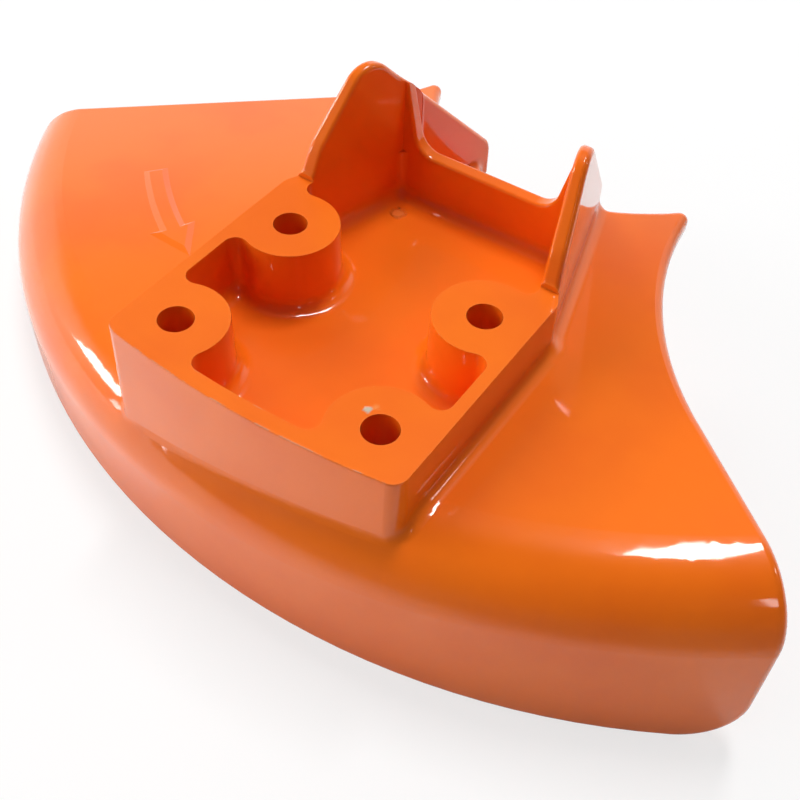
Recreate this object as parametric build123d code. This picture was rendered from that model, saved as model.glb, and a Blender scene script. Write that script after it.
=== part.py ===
from build123d import *
import math
import os

# Four-bolt pattern of the mounting box
bolt_pitch_x = 36.0
bolt_pitch_y = 27.0
bolt_hole_d = 5.5
boss_d = 16.0

# Mounting box, measured at the machined rim
side_margin = -0.3
front_margin = 1.0
rear_margin = 2.7
front_arc_r = 154.0
front_corner_r = 2.5
side_wall = 2.1
front_wall = 2.7
pocket_depth = 11.0
floor_t = 3.2
rim_stock = 0.5
draft_deg = 1.2

# Step from the box side in to the foot of each ear
foot_in_x = 1.1
foot_in_y = 2.2
foot_outer_r = 3.0
foot_inner_r = 6.0

# Ears, in side view measured from the ear foot
ear_t = 3.0
ear_converge_deg = 15.5
ear_knee_run = 1.9
ear_knee_rise = 5.6
ear_peak_run = 12.0
ear_peak_rise = 19.0
ear_fall_deg = 45.6
ear_foot_r = 1.5
ear_knee_r = 9.0
ear_peak_r = 4.4
ear_end_r = 3.0
left_ear_overhang = 3.0
right_ear_overhang = 0.4

# Saddle wall between the ears
saddle_reach = 18.8
saddle_t = 2.7
saddle_drop = 1.5
saddle_width = 26.1
saddle_flare_deg = 13.0
saddle_u_r = 4.0
saddle_lip_r = 0.6

# Saw blade and the arched skirt around it
blade_d = 225.0
blade_gap = 9.0
shell_t = 3.2
spindle_x = 4.0
spindle_y = 98.1
plate_drop = 12.3
plate_tilt_deg = 6.5
shoulder_r = 11.0
skirt_drop = 39.4
skirt_left_corner_r = 3.0
skirt_right_corner_r = 9.5

# Outline of the arched plate, in polar terms about the spindle
back_arc_r = 39.7
claw_tip_r = 1.5
left_claw = 9.8
left_root_r = back_arc_r + left_claw
left_root_deg = 205.9
left_edge_deg = 213.5
left_hook_r = 10.0
left_hook_deg = 28.0
right_claw = 4.4
right_root_r = back_arc_r + right_claw
right_root_deg = 306.3
right_root_heading_deg = -83.5
right_sweep_r = 70.5
right_sweep_deg = 39.9

# Casting radii
pocket_corner_r = 2.0
pocket_floor_r = 2.5
behind_corner_r = 1.5
base_r = 2.0
rim_r = 0.8
plate_edge_r = 1.4
under_edge_r = 0.5

# Cutting tools run past the faces they cut by this much, and edges are picked by place within this much
past = 2.0
near = 0.05

# Derived sizes
skirt_r = blade_d / 2 + blade_gap + shell_t
box_half = bolt_pitch_x / 2 + boss_d / 2 + side_margin
front_y = -(bolt_pitch_y / 2 + boss_d / 2 + front_margin)
foot_y = bolt_pitch_y / 2 + boss_d / 2 + rear_margin
foot_x = box_half - foot_in_x
inner_half = box_half - side_wall
converge = math.tan(math.radians(ear_converge_deg))
inner_foot_x = foot_x - ear_t / math.cos(math.radians(ear_converge_deg))
saddle_y = foot_y + saddle_reach
behind_y = saddle_y + saddle_t
rear_y = spindle_y - back_arc_r + boss_d
tool_top = ear_peak_rise + past
tip_reach = back_arc_r / 2
tilt = math.radians(plate_tilt_deg)
spindle = Vector(spindle_x, spindle_y)
bolts = [(sx * bolt_pitch_x / 2, sy * bolt_pitch_y / 2) for sx in (-1, 1) for sy in (-1, 1)]


def heading(degrees):
    a = math.radians(degrees)
    return Vector(math.cos(a), math.sin(a))


def polar(radius, degrees):
    return spindle + heading(degrees) * radius


def corner(face, x, y):
    return face.vertices().sort_by_distance((x, y, 0))[0]


def from_spindle(shape):
    return (Vector(shape.center().X, shape.center().Y) - spindle).length


def sagitta(half, radius):
    return radius - math.sqrt(radius ** 2 - half ** 2)


# Inner side of an ear at a given distance along the box axis
def ear_inside(y):
    return inner_foot_x - (y - foot_y) * converge


# Closed outline from its right half, with an arched front edge
def arched_face(right_points, front):
    right = Polyline(*right_points)
    left = Polyline(*[(-x, y) for x, y in right_points])
    arch = ThreePointArc(left @ 0, (0, front), right @ 0)
    return make_face(Curve() + [arch, right, Line(right @ 1, left @ 1), left])


# Upright block around a rim-plane outline; lean 1 narrows going up, lean -1 narrows going down
def drafted(face, up, down, lean):
    upright = Pos(0, 0, -down) * extrude(face, up + down)
    sides = upright.faces().filter_by(lambda f: abs(f.normal_at().Z) < near)
    return draft(sides, Plane.XY, lean * draft_deg)


# Round body under the tilted plate, with a rolled shoulder
def dome(radius, drop, roll):
    low = -skirt_drop - skirt_r
    body = Pos(spindle_x, spindle_y, low) * Cylinder(
        radius, skirt_r - low, align=(Align.CENTER, Align.CENTER, Align.MIN)
    )
    top = Plane(origin=(0, 0, -drop), z_dir=(-math.sin(tilt), 0, math.cos(tilt)))
    body = split(body, bisect_by=top, keep=Keep.BOTTOM)
    return fillet(body.edges().filter_by(GeomType.ELLIPSE), roll)


outer = dome(skirt_r, plate_drop, shoulder_r)
inner = dome(skirt_r - shell_t, plate_drop + shell_t / math.cos(tilt), shoulder_r - shell_t)

# Plan outline of the arched plate: straight left edge, two claws, round back, swept right edge
left_root = polar(left_root_r, left_root_deg)
left_far = left_root + heading(left_edge_deg) * skirt_r
hook = JernArc(left_root, -heading(left_edge_deg), left_hook_r, left_hook_deg)
left_tip = hook @ 1 + hook % 1 * tip_reach
right_root = polar(right_root_r, right_root_deg)
right_tip = right_root - heading(right_root_heading_deg) * tip_reach
sweep = JernArc(right_root, heading(right_root_heading_deg), right_sweep_r, right_sweep_deg)
right_far = sweep @ 1 + sweep % 1 * skirt_r
front_far = polar(skirt_r * 2, (left_root_deg + right_root_deg) / 2)
outline = make_face(
    Curve()
    + [
        Line(left_far, left_root),
        hook,
        Polyline(hook @ 1, left_tip, spindle, right_tip, right_root),
        sweep,
        Polyline(sweep @ 1, right_far, front_far, left_far),
    ]
)
outline = outline - Pos(spindle_x, spindle_y) * Circle(back_arc_r)
tips = [v for v in outline.vertices() if abs(from_spindle(v) - back_arc_r) < near]
outline = fillet(tips, claw_tip_r)
shell = outer & (Pos(0, 0, -skirt_drop) * extrude(outline, skirt_drop + tool_top))


# Cutter that rounds a lower corner of the skirt, inward along the skirt and square to its end
def corner_cutter(spot, inward, along, radius):
    frame = Plane(origin=(spot.X, spot.Y, -skirt_drop), x_dir=inward, z_dir=along)
    square = Pos(-past, -past) * Rectangle(radius + past, radius + past, align=(Align.MIN, Align.MIN))
    return extrude(frame * (square - Pos(radius, radius) * Circle(radius)), shell_t * 2, both=True)


# Rounded lower corners of the skirt
left_dir = heading(left_edge_deg)
right_dir = sweep % 1
low_ends = [v for v in shell.vertices().group_by(Axis.Z)[0] if from_spindle(v) > skirt_r - past]
left_end, right_end = ShapeList(low_ends).sort_by(Axis.X)
shell = shell - corner_cutter(left_end, left_dir.rotate(Axis.Z, 90), left_dir, skirt_left_corner_r)
shell = shell - corner_cutter(right_end, right_dir.rotate(Axis.Z, -90), -right_dir, skirt_right_corner_r)

# Rounded upper edge, tangent all round the plate and the skirt
on_edge = left_root + left_dir * left_root_r
edge_z = on_edge.X * math.tan(tilt) - plate_drop
shell = fillet(shell.edges().sort_by_distance((on_edge.X, on_edge.Y, edge_z))[0], plate_edge_r)

# Outer block: box walls running on into the converging ears
block_face = arched_face(
    [
        (box_half, front_y + sagitta(box_half, front_arc_r)),
        (box_half, foot_y - foot_in_y),
        (foot_x, foot_y),
        (foot_x - (rear_y - foot_y) * converge, rear_y),
    ],
    front_y,
)
block_face = fillet([corner(block_face, s * box_half, front_y) for s in (-1, 1)], front_corner_r)
block_face = fillet([corner(block_face, s * box_half, foot_y - foot_in_y) for s in (-1, 1)], foot_outer_r)
block_face = fillet([corner(block_face, s * foot_x, foot_y) for s in (-1, 1)], foot_inner_r)
block = drafted(block_face, tool_top, skirt_drop, 1)

# Side view of the rim and the ears
peak_y = foot_y + ear_peak_run
end_z = ear_peak_rise - (rear_y + past - peak_y) * math.tan(math.radians(ear_fall_deg))
side_face = make_face(
    Polyline(
        (front_y - past, rim_stock),
        (foot_y, rim_stock),
        (foot_y + ear_knee_run, ear_knee_rise),
        (peak_y, ear_peak_rise),
        (rear_y + past, end_z),
        (rear_y + past, -skirt_r),
        (front_y - past, -skirt_r),
        close=True,
    )
)
side_face = fillet(corner(side_face, foot_y, rim_stock), ear_foot_r)
side_face = fillet(corner(side_face, foot_y + ear_knee_run, ear_knee_rise), ear_knee_r)
side_face = fillet(corner(side_face, peak_y, ear_peak_rise), ear_peak_r)
side_plane = Plane(origin=(0, 0, 0), x_dir=(0, 1, 0), z_dir=(1, 0, 0))
block = block & extrude(side_plane * side_face, box_half * 2, both=True)

# Gap between the ears behind the saddle wall
behind_face = make_face(
    Polyline(
        (ear_inside(behind_y), behind_y),
        (ear_inside(rear_y + past), rear_y + past),
        (-ear_inside(rear_y + past), rear_y + past),
        (-ear_inside(behind_y), behind_y),
        close=True,
    )
)
behind_corners = [corner(behind_face, s * ear_inside(behind_y), behind_y) for s in (-1, 1)]
behind_face = fillet(behind_corners, behind_corner_r)
block = block - drafted(behind_face, tool_top, skirt_drop, -1)

# Pocket between the walls, with the four bosses left standing
turn_y = foot_y - (inner_half - inner_foot_x) / converge
inner_front = front_y + front_wall
room_face = arched_face(
    [
        (inner_half, inner_front + sagitta(inner_half, front_arc_r - front_wall)),
        (inner_half, turn_y),
        (ear_inside(saddle_y), saddle_y),
    ],
    inner_front,
)
pocket_face = room_face
for x, y in bolts:
    pocket_face = pocket_face - Pos(x, y) * Circle(boss_d / 2)
pocket_face = fillet(pocket_face.vertices(), pocket_corner_r)
pocket = drafted(pocket_face, tool_top, pocket_depth, -1)
pocket = fillet(pocket.edges().group_by(Axis.Z)[0], pocket_floor_r)

# Arched shell and box, blended at the foot of the box walls and the ears
body = shell + block
body = fillet(new_edges(shell, block, combined=body), base_r)
body = body - inner

# Rear end of each ear, overhanging the back edge of the plate and rounded on top
for side, overhang in ((-1, left_ear_overhang), (1, right_ear_overhang)):
    ear_end = back_arc_r - overhang
    beyond = Pos(spindle_x, spindle_y) * Cylinder(ear_end, skirt_r * 2)
    body = body - (beyond & Pos(side * box_half, rear_y) * Box(box_half * 2, skirt_r * 2, skirt_r * 2))
    ends = [e for e in body.edges() if abs(from_spindle(e) - ear_end) < near and e.center().X * side > 0]
    ends = ShapeList(ends).filter_by(GeomType.ELLIPSE)
    body = fillet(ends.sort_by(Axis.Z)[-1], ear_end_r)

# Level floor of even thickness under the pocket
floor_z = -pocket_depth - floor_t
floor = Pos(0, 0, floor_z) * extrude(room_face, pocket_depth)
below = Pos(0, 0, floor_z) * extrude(room_face, -skirt_drop)
body = body + floor - pocket - below


# Short straight joint between two tangent faces of the rim, along X or Y only
def joint(edge):
    size = edge.bounding_box().size
    spans = [d for d in (size.X, size.Y, size.Z) if d > near]
    return edge.geom_type == GeomType.LINE and len(spans) == 1 and edge.length < ear_t + saddle_t


# Rounded rim, boss and ear edges, then the rim and the bosses machined level
rim = [e for e in body.edges() if e.bounding_box().min.Z > -near and not joint(e)]
body = fillet(rim, rim_r)
mill_long = foot_y - front_y + past
mill = Box(box_half * 2 + past, mill_long, tool_top, align=(Align.CENTER, Align.MAX, Align.MIN))
body = body - Pos(0, foot_y) * mill


# Edge of the saddle cut through its wall
def on_lip(edge):
    across = abs(edge.center().X) < saddle_top + near and edge.bounding_box().size.Y < saddle_t / 2
    return across and edge.bounding_box().min.Z > -saddle_drop - near and edge.center().Z < tool_top - near


# Saddle for the shaft housing, with a rounded lip
saddle_top = saddle_width / 2 + (tool_top + saddle_drop) * math.tan(math.radians(saddle_flare_deg))
saddle_face = make_face(
    Polyline(
        (-saddle_width / 2, -saddle_drop),
        (saddle_width / 2, -saddle_drop),
        (saddle_top, tool_top),
        (-saddle_top, tool_top),
        close=True,
    )
)
saddle_face = fillet(saddle_face.vertices().group_by(Axis.Y)[0], saddle_u_r)
saddle_mid = (saddle_y + behind_y) / 2
wall = drafted(Pos(0, saddle_mid) * Rectangle(box_half * 4, saddle_t), tool_top, pocket_depth, 1)
wall = wall - extrude(Plane.XZ.offset(-saddle_mid) * saddle_face, saddle_t * 2, both=True)
wall = fillet([e for e in wall.edges() if on_lip(e)], saddle_lip_r)
saddle = Pos(0, saddle_mid, -saddle_drop - saddle_lip_r) * Box(
    box_half * 2, saddle_t * 2, tool_top, align=(Align.CENTER, Align.CENTER, Align.MIN)
)
gap_face = make_face(
    Polyline(
        (ear_inside(foot_y), foot_y),
        (ear_inside(rear_y), rear_y),
        (-ear_inside(rear_y), rear_y),
        (-ear_inside(foot_y), foot_y),
        close=True,
    )
)
saddle = (saddle - wall) & drafted(gap_face, tool_top, pocket_depth, -1)
body = body - saddle

# Bolt holes
for x, y in bolts:
    body = body - Pos(x, y) * Cylinder(bolt_hole_d / 2, skirt_drop * 2)

# Rounded lower edge, all round the underside
under_spot = (on_edge.X, on_edge.Y, edge_z - shell_t)
body = fillet(body.edges().sort_by_distance(under_spot)[0], under_edge_r)

os.makedirs("parts", exist_ok=True)
export_step(body, "parts/guard.step")
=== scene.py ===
"""Painted saw blade guard for a brush cutter, with its turning arrow, on a plain pale stage."""

import math

import bmesh
import bpy
from bpy.props import FloatProperty, FloatVectorProperty, PointerProperty
from mathutils import Matrix, Vector


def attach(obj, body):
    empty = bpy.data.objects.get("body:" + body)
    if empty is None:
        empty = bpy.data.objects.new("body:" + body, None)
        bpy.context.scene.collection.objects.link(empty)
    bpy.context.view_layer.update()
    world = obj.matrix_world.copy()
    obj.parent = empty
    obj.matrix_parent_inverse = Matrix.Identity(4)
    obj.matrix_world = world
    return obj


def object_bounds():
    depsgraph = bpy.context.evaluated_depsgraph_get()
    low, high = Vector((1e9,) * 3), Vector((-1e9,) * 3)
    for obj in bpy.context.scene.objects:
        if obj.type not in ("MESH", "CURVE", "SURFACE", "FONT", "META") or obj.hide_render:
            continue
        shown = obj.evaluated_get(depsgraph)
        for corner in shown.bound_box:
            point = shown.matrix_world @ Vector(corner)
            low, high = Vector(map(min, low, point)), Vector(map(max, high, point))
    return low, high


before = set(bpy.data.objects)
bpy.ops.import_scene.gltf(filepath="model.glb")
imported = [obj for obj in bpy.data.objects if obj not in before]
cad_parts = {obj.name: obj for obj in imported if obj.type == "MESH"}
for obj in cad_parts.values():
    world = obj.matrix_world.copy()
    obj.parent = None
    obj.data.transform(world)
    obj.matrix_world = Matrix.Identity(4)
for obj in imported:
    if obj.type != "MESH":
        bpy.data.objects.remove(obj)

bl_info = {
    "name": "Saw Blade Guard",
    "version": (1, 0, 0),
    "blender": (4, 5, 0),
    "location": "View3D > Sidebar > Guard",
    "description": "Paints the cast guard, raises its turning arrow and sets it on a pale stage",
    "category": "Object",
}

CAD_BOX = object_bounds()
CASTING = "guard"
BODY = "root"
MM = 0.001

# Marks in the paint, as places on the casting
CHIP = (14.6 * MM, -11.6 * MM, 0.0)
SCUFF = (15.3 * MM, -10.6 * MM, 0.0)
# The lump is tinted paler, a painted highlight
LUMP = (-13.2 * MM, 37.6 * MM, -10.8 * MM)
# The pit is darkened, a painted shade
PIT = (-14.0 * MM, 38.8 * MM, -10.4 * MM)
FRONT_RIM_Y = -19.0 * MM
FRONT_RIM_REACH = 1.5 * MM
RIM_TOP = (-1.0 * MM, -0.4 * MM)

# Spacing of the noises in the paint
PATCH = 24 * MM
SMUDGE = 3 * MM
SCRATCH = 2.6 * MM
SPECK = 14 * MM
RAGGED = 0.8 * MM
GRAIN = 0.35 * MM

# Levels of the noises and masks between which a mark fades in
EDGE_TURN = (0.995, 0.86)
POOLED = (0.35, 0.7)
CLOUDY = (0.3, 0.7)
SCRATCHED = (0.48, 0.62)
SPECKED = (0.020, 0.012)
DOWNWARD = (-0.2, -0.7)

# Strength of each mark in the paint; the paler edge and lump tints are partly painted highlight, and the
# pit's dark is painted shade
THIN_PAINT_AND_HIGHLIGHT_SHARE = 0.4
WORN_SHARE = 0.6
LUMP_HIGHLIGHT_SHARE = 0.6
DIRT_AND_SHADE_SHARE = 0.8
DULL_SHARE = 0.6
METAL_SHARE = 0.5
PATCH_ROUGH = 0.12
BARE_ROUGH = 0.2
DIRT_ROUGH = 0.3
UNDER_ROUGH = 0.15
UNDER_GRAIN = 0.05 * MM
CHIP_DEPTH = 0.06 * MM

# Pale glow of the room: its middle, its lean to the left, and the levels between which it fades in
GLOW_AZIMUTH = -140
GLOW_LEAN = 0.27
GLOW_HEIGHT = (0.71, 0.58)
GLOW_SPREAD = (0.15, 0.6)

# Side of the stage, ahead and to the right, where the floor as the paint mirrors it is painted darker, as
# painted shade
DIM_SIDE = (0.7, -1.0, 0.0)

# Fineness of the soft edges and of the bent arrow, and the least upward lean of its top face
EDGE_SAMPLES = 6
ARROW_STEPS = 16
UPWARD = 0.5

# White of the background, and the camera's picture width in millimetres and nearest sight in metres
WHITE = (1.0, 1.0, 1.0, 1.0)
SENSOR_WIDTH = 36.0
NEAREST = 0.01


def colour(label, hint, value):
    """A colour that the user may change."""
    return FloatVectorProperty(
        name=label, description=hint, default=value, size=3, subtype="COLOR", min=0.0, max=1.0
    )


def length(label, hint, value):
    """A length in metres that the user may change."""
    return FloatProperty(name=label, description=hint, default=value, unit="LENGTH", precision=5)


def angle(label, hint, degrees):
    """An angle that the user may change."""
    return FloatProperty(name=label, description=hint, default=math.radians(degrees), subtype="ANGLE")


def share(label, hint, value):
    """A share between none and all that the user may change."""
    return FloatProperty(name=label, description=hint, default=value, min=0.0, max=1.0, subtype="FACTOR")


def level(label, hint, value):
    """A brightness that the user may change."""
    return FloatProperty(name=label, description=hint, default=value, min=0.0)


class GuardPaintSettings(bpy.types.PropertyGroup):
    """Colours and surface sizes of the painted casting."""

    paint: colour("Paint", "Main orange of the paint", (0.95, 0.176, 0.006))
    # Paler orange on sharp edges, the scuff and the lump: thin or rubbed paint, and in part a painted
    # highlight on edges and lump
    thin_paint_and_highlight: colour("Thin paint", "Paler orange where paint runs thin over an edge", (0.92, 0.27, 0.06))
    deep_paint: colour("Deep paint", "Deeper orange where the paint has pooled", (0.84, 0.115, 0.004))
    bare_metal: colour("Bare metal", "Light alloy under a paint chip", (0.50, 0.42, 0.33))
    # Also used as painted shade in the pit
    grime_and_shade: colour("Grime", "Dark dust and dirt caught in the paint", (0.10, 0.022, 0.006))
    patchiness: share("Patchiness", "How much the deeper orange shows", 0.45)
    paint_roughness: share("Paint roughness", "Roughness of the paint under its clear gloss", 0.35)
    paint_shine: share("Paint shine", "Mirror reflection of the paint under its clear gloss", 0.12)
    gloss_roughness: share("Gloss roughness", "Roughness of the clear gloss", 0.07)
    peel_size: length("Peel size", "Spacing of the orange-peel ripples", 1.3 * MM)
    peel_height: length("Peel height", "Height of the orange-peel ripples", 0.002 * MM)
    wave_size: length("Casting wave", "Spacing of the slow waves of the cast skin", 11 * MM)
    wave_height: length("Casting wave height", "Height of the slow waves of the cast skin", 0.003 * MM)
    # Also the width of the painted edge highlight
    edge_width: length("Edge width", "Width of the thin paint along sharp edges", 0.5 * MM)
    chip_size: length("Chip size", "Radius of the paint chip beside a bolt hole", 0.85 * MM)
    lump_size: length("Lump size", "Radius of the paint lump in the corner of the pocket", 1.7 * MM)
    lump_height: length("Lump height", "Height of the paint lump", 0.5 * MM)


class TurningArrowSettings(bpy.types.PropertyGroup):
    """Sizes of the raised arrow that shows which way the blade turns."""

    spindle_x: length("Spindle X", "Blade spindle, sideways from the bolt pattern", 4.0 * MM)
    spindle_y: length("Spindle Y", "Blade spindle, ahead of the bolt pattern", 98.1 * MM)
    plate_drop: length("Plate drop", "Depth of the plate below the bolt bosses", 12.3 * MM)
    plate_tilt: angle("Plate tilt", "Slope of the plate towards the left wing", 6.5)
    radius: length("Arrow radius", "Distance of the arrow's middle from the spindle", 96.6 * MM)
    shaft_width: length("Shaft width", "Width of the arrow's shaft", 4.6 * MM)
    head_width: length("Head width", "Width across the arrow's head", 8.6 * MM)
    start: angle("Start", "Direction of the arrow's tail, seen from the spindle", 225.0)
    neck: angle("Neck", "Direction where the head begins", 237.1)
    tip: angle("Tip", "Direction of the arrow's tip", 243.0)
    height: length("Height", "Height of the arrow above the plate", 0.5 * MM)
    sink: length("Sink", "Depth of the arrow's foot inside the plate", 0.5 * MM)
    slope: length("Slope", "Width of the arrow's sloping sides", 1.1 * MM)


class StageSettings(bpy.types.PropertyGroup):
    """Floor, lights and camera around the guard."""

    floor_colour: colour("Floor", "Pale floor", (0.92, 0.92, 0.92))
    # Painted shade: darker floor that only the paint's mirror sees, ahead and to the right
    mirrored_floor_shade: colour("Far floor", "Floor ahead of the stage, as the paint mirrors it", (0.08, 0.08, 0.08))
    floor_size: length("Floor size", "Side of the floor", 6.0)
    floor_gap: length("Floor gap", "Air between the skirt and the floor", 0.2 * MM)
    stage_front: length("Stage front", "How far ahead the mirrored floor begins to darken", 35 * MM)
    stage_end: length("Stage end", "How far ahead the mirrored floor is dark", 115 * MM)
    shadow: share("Shadow", "How much of the floor's own light and shade the camera sees", 0.28)
    mirrored_white: share("Mirrored white", "How much of the white background the paint mirrors", 0.15)
    surround: level("Surround", "Brightness of the room", 0.06)
    glow: level("Glow", "Brightness of the pale wall behind the guard", 0.85)
    room_colour: colour("Room", "Tint of the room", (1.0, 0.985, 0.97))
    lens: FloatProperty(name="Lens", description="Focal length in millimetres", default=50.72, min=1.0)
    eye: FloatVectorProperty(
        name="Eye",
        description="Place of the camera",
        default=(0.07149, -0.0957, 0.11409),
        size=3,
        subtype="XYZ",
    )
    azimuth: angle("Azimuth", "Direction of the camera round the guard", 31.66)
    elevation: angle("Elevation", "Height of the camera above the horizon", 47.78)
    roll: angle("Roll", "Lean of the camera about its line of sight", 3.11)


class Wire:
    """A shader socket that can stand in a sum."""

    def __init__(self, tree, socket):
        self.tree = tree
        self.socket = socket

    def node(self, kind, settings=None, inputs=None, output=0):
        """A new node: its settings go in first, then the values or wires of its sockets."""
        made = self.tree.nodes.new(kind)
        for name, value in (settings or {}).items():
            setattr(made, name, value)
        for name, value in (inputs or {}).items():
            if isinstance(value, Wire):
                self.tree.links.new(value.socket, made.inputs[name])
            else:
                made.inputs[name].default_value = value
        return Wire(self.tree, made.outputs[output] if made.outputs else None)

    def sum(self, operation, first, second):
        """A sum of two wires or numbers."""
        return self.node("ShaderNodeMath", {"operation": operation}, {0: first, 1: second})

    def __add__(self, other):
        return self.sum("ADD", self, other)

    def __radd__(self, other):
        return self.sum("ADD", other, self)

    def __sub__(self, other):
        return self.sum("SUBTRACT", self, other)

    def __rsub__(self, other):
        return self.sum("SUBTRACT", other, self)

    def __mul__(self, other):
        return self.sum("MULTIPLY", self, other)

    def most(self, other):
        """The greater of this value and another."""
        return self.sum("MAXIMUM", self, other)

    def band(self, low, high, start=0.0, end=1.0):
        """This value spread smoothly from start to end as it goes from low to high."""
        return self.node(
            "ShaderNodeMapRange",
            {"interpolation_type": "SMOOTHSTEP"},
            {"Value": self, "From Min": low, "From Max": high, "To Min": start, "To Max": end},
        )

    def tint(self, under, over):
        """Two colours mixed by this mask."""
        colours = {"Factor": self, 6: under, 7: over}
        return self.node("ShaderNodeMix", {"data_type": "RGBA"}, colours, output=2)

    def noise(self, spacing, detail=2.0):
        """Cloudy noise over these coordinates."""
        cloud = {"Vector": self, "Scale": 1.0 / spacing, "Detail": detail}
        return self.node("ShaderNodeTexNoise", None, cloud)

    def measure(self, operation, other):
        """A number from this vector and another."""
        vectors = {0: self, 1: other}
        return self.node("ShaderNodeVectorMath", {"operation": operation}, vectors, output="Value")

    def away(self, place):
        """Distance of these coordinates from a place."""
        return self.measure("DISTANCE", place)

    def along(self, other):
        """How far this direction agrees with another."""
        return self.measure("DOT_PRODUCT", other)

    def part(self, axis):
        """One coordinate of this vector."""
        return self.node("ShaderNodeSeparateXYZ", None, {"Vector": self}, output=axis)


def opaque(tone):
    """A colour property as a colour that covers fully."""
    return (*tone, 1.0)


def compass(azimuth, elevation):
    """Direction from the guard towards a compass direction in degrees, with 0 in front."""
    a, e = math.radians(azimuth), math.radians(elevation)
    return Vector((math.sin(a) * math.cos(e), -math.cos(a) * math.cos(e), math.sin(e)))


def clear_material(name):
    """An empty node material and its first wire, the object's own coordinates."""
    material = bpy.data.materials.new(name)
    material.use_nodes = True
    tree = material.node_tree
    tree.nodes.clear()
    place = Wire(tree, tree.nodes.new("ShaderNodeTexCoord").outputs["Object"])
    return material, place


def show(place, shader):
    """Sends a shader to the material's output."""
    place.node("ShaderNodeOutputMaterial", None, {"Surface": shader})


def glossy_orange(settings):
    """Wet-looking orange paint over a light alloy casting."""
    material, place = clear_material("glossy_orange")
    facing = place.node("ShaderNodeNewGeometry", output="Normal")
    rounded = place.node("ShaderNodeBevel", {"samples": EDGE_SAMPLES}, {"Radius": settings.edge_width})
    edge = facing.along(rounded).band(*EDGE_TURN)

    patchy = place.noise(PATCH, detail=3.0)
    slow = place.noise(settings.wave_size)
    peel = place.noise(settings.peel_size, detail=1.0)
    grain = place.noise(GRAIN, detail=3.0)
    wobble = (place.noise(RAGGED) - 0.5) * 2.0

    def blot(middle, radius, ragged, core):
        """A round mark with a ragged rim, full within its core; both are shares of its radius."""
        return (place.away(middle) + wobble * (radius * ragged)).band(radius, radius * core)

    pooled = patchy.band(*POOLED) * settings.patchiness
    tone = pooled.tint(opaque(settings.paint), opaque(settings.deep_paint))
    # Paler along sharp edges: partly thin paint, partly a painted highlight on the edge
    thin = edge * grain.band(*CLOUDY) * THIN_PAINT_AND_HIGHLIGHT_SHARE
    scuff = blot(SCUFF, settings.chip_size, ragged=0.8, core=0.0)
    tone = thin.most(scuff).tint(tone, opaque(settings.thin_paint_and_highlight))

    chip = blot(CHIP, settings.chip_size, ragged=0.7, core=0.3)
    on_rim = place.part("Z").band(*RIM_TOP)
    on_rim = on_rim * place.part("Y").band(FRONT_RIM_Y, FRONT_RIM_Y - FRONT_RIM_REACH)
    worn = edge * on_rim * place.noise(SCRATCH, detail=3.0).band(*SCRATCHED) * WORN_SHARE
    bare = chip.most(worn)
    tone = bare.tint(tone, opaque(settings.bare_metal))

    cells = {"Vector": place, "Scale": 1.0 / SPECK}
    dust = place.node("ShaderNodeTexVoronoi", {"feature": "F1"}, cells, output="Distance")
    specks = dust.band(*SPECKED) * DIRT_AND_SHADE_SHARE
    lump = blot(LUMP, settings.lump_size, ragged=0.5, core=0.4)
    shaded_pit = blot(PIT, settings.lump_size / 2, ragged=0.6, core=0.4)
    # The lump is tinted paler as a painted highlight
    tone = (lump * LUMP_HIGHLIGHT_SHARE).tint(tone, opaque(settings.thin_paint_and_highlight))
    # Dust specks, and painted shade in the pit
    dirt = specks.most(shaded_pit * DIRT_AND_SHADE_SHARE)
    tone = dirt.tint(tone, opaque(settings.grime_and_shade))

    smudge = place.noise(SMUDGE, detail=3.0).band(*CLOUDY, start=0.5)
    under = facing.part("Z").band(*DOWNWARD) * smudge
    rough = settings.paint_roughness + (patchy - 0.5) * PATCH_ROUGH
    rough = rough + bare * BARE_ROUGH + dirt * DIRT_ROUGH + under * UNDER_ROUGH
    coat = (1.0 - bare) * (1.0 - dirt) * (1.0 - under * DULL_SHARE)

    ripples = peel * settings.peel_height + slow * settings.wave_height + grain * under * UNDER_GRAIN
    ripples = ripples + lump * settings.lump_height - bare * CHIP_DEPTH - shaded_pit * settings.lump_height
    swell = {"Strength": 1.0, "Distance": 1.0, "Height": ripples}
    relief = place.node("ShaderNodeBump", None, swell, output="Normal")

    shader = place.node(
        "ShaderNodeBsdfPrincipled",
        None,
        {
            "Base Color": tone,
            "Metallic": bare * METAL_SHARE,
            "Roughness": rough,
            "Specular IOR Level": settings.paint_shine,
            "Coat Weight": coat,
            "Coat Roughness": settings.gloss_roughness,
            "Normal": relief,
        },
    )
    show(place, shader)
    return material


def pale_floor(settings):
    """Pale floor that keeps a soft part of the guard's shadow and is otherwise white to the camera."""
    material, place = clear_material("pale_floor")
    seen = place.node("ShaderNodeLightPath", output="Is Camera Ray")
    mirrored = place.node("ShaderNodeLightPath", output="Is Glossy Ray")
    through = place.node("ShaderNodeLightPath", output="Is Transmission Ray")
    # Painted shade: mirror rays see the floor ahead and to the right darker and with less white
    far = place.along(DIM_SIDE).band(settings.stage_front, settings.stage_end)
    tone = (far * mirrored).tint(opaque(settings.floor_colour), opaque(settings.mirrored_floor_shade))
    matt = place.node("ShaderNodeBsdfDiffuse", None, {"Color": tone})
    white = place.node("ShaderNodeEmission", None, {"Strength": 1.0})
    behind = mirrored.most(through) * settings.mirrored_white * (1.0 - far)
    plain = (seen * (1.0 - settings.shadow)).most(behind)
    show(place, place.node("ShaderNodeMixShader", None, {0: plain, 1: matt, 2: white}))
    return material


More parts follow.
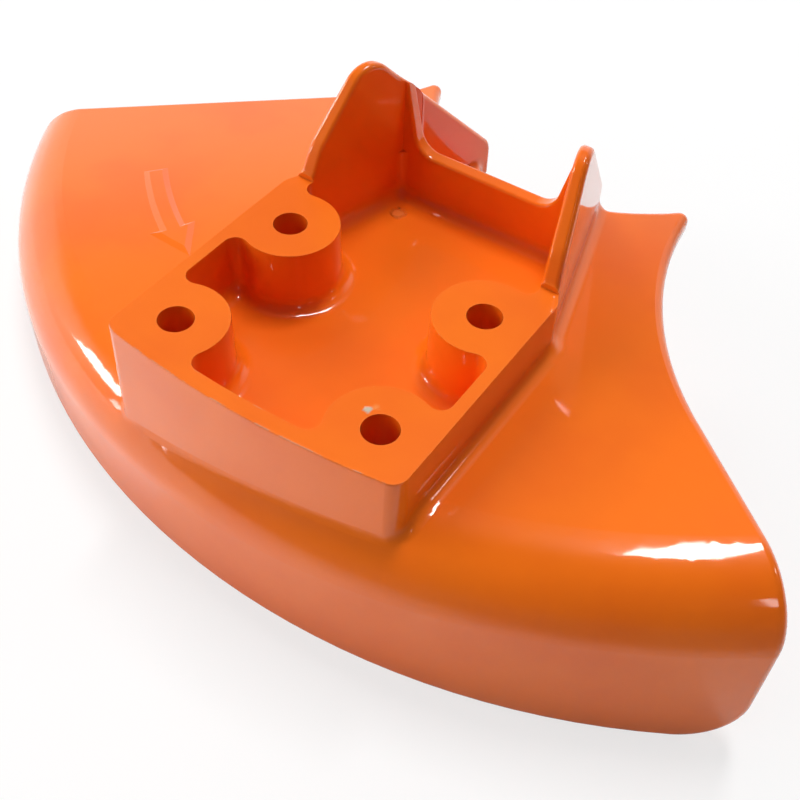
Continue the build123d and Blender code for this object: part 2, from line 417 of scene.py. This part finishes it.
def studio(settings):
    """Dim room with a pale glow low behind the guard, white to the camera."""
    room = bpy.data.worlds.new("room")
    room.use_nodes = True
    tree = room.node_tree
    tree.nodes.clear()
    ray = Wire(tree, tree.nodes.new("ShaderNodeTexCoord").outputs["Generated"])
    height = ray.part("Z") - ray.part("X") * GLOW_LEAN
    glow = height.band(*GLOW_HEIGHT) * ray.along(compass(GLOW_AZIMUTH, 0)).band(*GLOW_SPREAD)
    dim = ray.node(
        "ShaderNodeBackground",
        None,
        {"Color": opaque(settings.room_colour), "Strength": settings.surround + glow * settings.glow},
    )
    white = ray.node("ShaderNodeBackground", None, {"Color": WHITE, "Strength": 1.0})
    seen = ray.node("ShaderNodeLightPath", output="Is Camera Ray")
    mixed = ray.node("ShaderNodeMixShader", None, {0: seen, 1: dim, 2: white})
    ray.node("ShaderNodeOutputWorld", None, {"Surface": mixed})
    return room


def finished(shape, name, material):
    """A bmesh turned into a piece of the guard."""
    mesh = bpy.data.meshes.new(name)
    shape.to_mesh(mesh)
    shape.free()
    piece = bpy.data.objects.new(name, mesh)
    bpy.context.scene.collection.objects.link(piece)
    piece.data.materials.append(material)
    return piece


class GUARD_OT_paint_casting(bpy.types.Operator):
    """Give the casting its glossy orange paint"""

    bl_idname = "guard.paint_casting"
    bl_label = "Paint Casting"

    def execute(self, context):
        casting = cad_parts.get(CASTING)
        if casting is None:
            raise RuntimeError("the frame has no casting to paint")
        casting.data.materials.clear()
        casting.data.materials.append(glossy_orange(context.scene.guard_paint))
        return {"FINISHED"}


class GUARD_OT_turning_arrow(bpy.types.Operator):
    """Raise the arrow that shows which way the blade turns"""

    bl_idname = "guard.turning_arrow"
    bl_label = "Turning Arrow"

    def execute(self, context):
        size = context.scene.guard_arrow
        paint = bpy.data.materials.get("glossy_orange")
        if paint is None:
            raise RuntimeError("paint the casting before raising the arrow")
        spindle = Vector((size.spindle_x, size.spindle_y, 0.0))

        def spot(radius, direction):
            """A place at a distance from the spindle, in a direction."""
            return spindle + Vector((math.cos(direction), math.sin(direction), 0.0)) * radius

        shape = bmesh.new()
        half_shaft, half_head = size.shaft_width / 2, size.head_width / 2
        tail = [shape.verts.new(spot(size.radius + side * half_shaft, size.start)) for side in (-1, 1)]
        tail_edge = shape.edges.new(tail)
        turned = bmesh.ops.spin(
            shape,
            geom=tail + [tail_edge],
            cent=spindle,
            axis=(0.0, 0.0, 1.0),
            angle=size.neck - size.start,
            steps=ARROW_STEPS,
            use_merge=False,
        )
        neck = [v for v in turned["geom_last"] if isinstance(v, bmesh.types.BMVert)]
        neck.sort(key=lambda v: (v.co - spindle).length)
        wings = [shape.verts.new(spot(size.radius + side * half_head, size.neck)) for side in (-1, 1)]
        tip = shape.verts.new(spot(size.radius, size.tip))
        shape.faces.new((wings[0], tip, wings[1], neck[1], neck[0]))
        bmesh.ops.recalc_face_normals(shape, faces=shape.faces)
        if shape.faces[:][0].normal.z < 0:
            bmesh.ops.reverse_faces(shape, faces=shape.faces)
        raised = bmesh.ops.extrude_face_region(shape, geom=list(shape.faces))
        top = [v for v in raised["geom"] if isinstance(v, bmesh.types.BMVert)]
        bmesh.ops.translate(shape, verts=top, vec=(0.0, 0.0, size.sink))
        bmesh.ops.recalc_face_normals(shape, faces=shape.faces)
        lid = [f for f in shape.faces if f.normal.z > UPWARD]
        bmesh.ops.inset_region(
            shape, faces=lid, thickness=size.slope, depth=size.height, use_even_offset=True
        )
        lie = Matrix.Identity(4)
        lie[2][0] = math.tan(size.plate_tilt)
        lie[2][3] = -size.plate_drop - size.sink
        bmesh.ops.transform(shape, matrix=lie, verts=shape.verts)
        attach(finished(shape, "turning_arrow", paint), BODY)
        return {"FINISHED"}


def soft_box(name, azimuth, elevation, width, height, brightness, distance=3.0, mirrored=True):
    """A soft rectangular light that looks at the guard from a compass direction."""
    lamp = bpy.data.lights.new(name, "AREA")
    lamp.shape = "RECTANGLE"
    lamp.size = width
    lamp.size_y = height
    lamp.energy = brightness * math.pi * width * height
    holder = bpy.data.objects.new(name, lamp)
    back = compass(azimuth, elevation)
    look = back.to_track_quat("Z", "Y").to_matrix().to_4x4()
    holder.matrix_world = Matrix.Translation(back * distance) @ look
    holder.visible_camera = False
    holder.visible_glossy = mirrored
    bpy.context.scene.collection.objects.link(holder)


class GUARD_OT_stage(bpy.types.Operator):
    """Set the guard on a pale floor under soft studio light, seen by the camera"""

    bl_idname = "guard.stage"
    bl_label = "Stage"

    def execute(self, context):
        size = context.scene.guard_stage
        scene = context.scene
        sheet = bmesh.new()
        bmesh.ops.create_grid(sheet, x_segments=1, y_segments=1, size=size.floor_size / 2)
        bmesh.ops.translate(sheet, verts=sheet.verts, vec=(0.0, 0.0, CAD_BOX[0].z - size.floor_gap))
        finished(sheet, "floor", pale_floor(size))
        scene.world = studio(size)

        soft_box("ceiling_panel", -169, 72, width=0.42, height=1.3, brightness=32)
        soft_box("left_pane", -72, 16.5, width=0.64, height=0.46, brightness=20)
        soft_box("left_low", -54.5, 3, width=0.12, height=0.06, brightness=9, distance=0.5)
        soft_box("right_lamp", 128, 35, width=0.37, height=0.37, brightness=10)
        soft_box("right_pane", 50, 33, width=0.08, height=0.55, brightness=8)
        soft_box("left_fill", -50, 20, width=2.8, height=1.8, brightness=2.1, mirrored=False)
        soft_box("back_fill", -115, 42, width=1.8, height=1.4, brightness=3.3, mirrored=False)

        scene.view_settings.view_transform = "Standard"
        lens = bpy.data.cameras.new("camera")
        lens.lens = size.lens
        lens.sensor_width = SENSOR_WIDTH
        lens.clip_start = NEAREST
        lens.dof.use_dof = False
        holder = bpy.data.objects.new("camera", lens)
        back = compass(math.degrees(size.azimuth), math.degrees(size.elevation))
        look = back.to_track_quat("Z", "Y").to_matrix().to_4x4()
        holder.matrix_world = Matrix.Translation(size.eye) @ look @ Matrix.Rotation(size.roll, 4, "Z")
        scene.collection.objects.link(holder)
        scene.camera = holder
        return {"FINISHED"}


class GUARD_PT_sidebar(bpy.types.Panel):
    """Sidebar panel of the guard"""

    bl_idname = "GUARD_PT_sidebar"
    bl_label = "Saw Blade Guard"
    bl_space_type = "VIEW_3D"
    bl_region_type = "UI"
    bl_category = "Guard"

    def draw(self, context):
        for operator, group in STEPS:
            box = self.layout.box()
            box.operator(operator.bl_idname)
            settings = getattr(context.scene, group)
            for name in settings.bl_rna.properties.keys():
                if name not in ("name", "rna_type"):
                    box.prop(settings, name)


STEPS = (
    (GUARD_OT_paint_casting, "guard_paint"),
    (GUARD_OT_turning_arrow, "guard_arrow"),
    (GUARD_OT_stage, "guard_stage"),
)
GROUPS = {
    "guard_paint": GuardPaintSettings,
    "guard_arrow": TurningArrowSettings,
    "guard_stage": StageSettings,
}
CLASSES = (*GROUPS.values(), *(operator for operator, group in STEPS), GUARD_PT_sidebar)


def register():
    for cls in CLASSES:
        bpy.utils.register_class(cls)
    for name, group in GROUPS.items():
        setattr(bpy.types.Scene, name, PointerProperty(type=group))


def unregister():
    for name in GROUPS:
        delattr(bpy.types.Scene, name)
    for cls in reversed(CLASSES):
        bpy.utils.unregister_class(cls)


def main():
    """Builds every piece in order."""
    register()
    bpy.ops.guard.paint_casting()
    bpy.ops.guard.turning_arrow()
    bpy.ops.guard.stage()


if __name__ == "__main__":
    main()
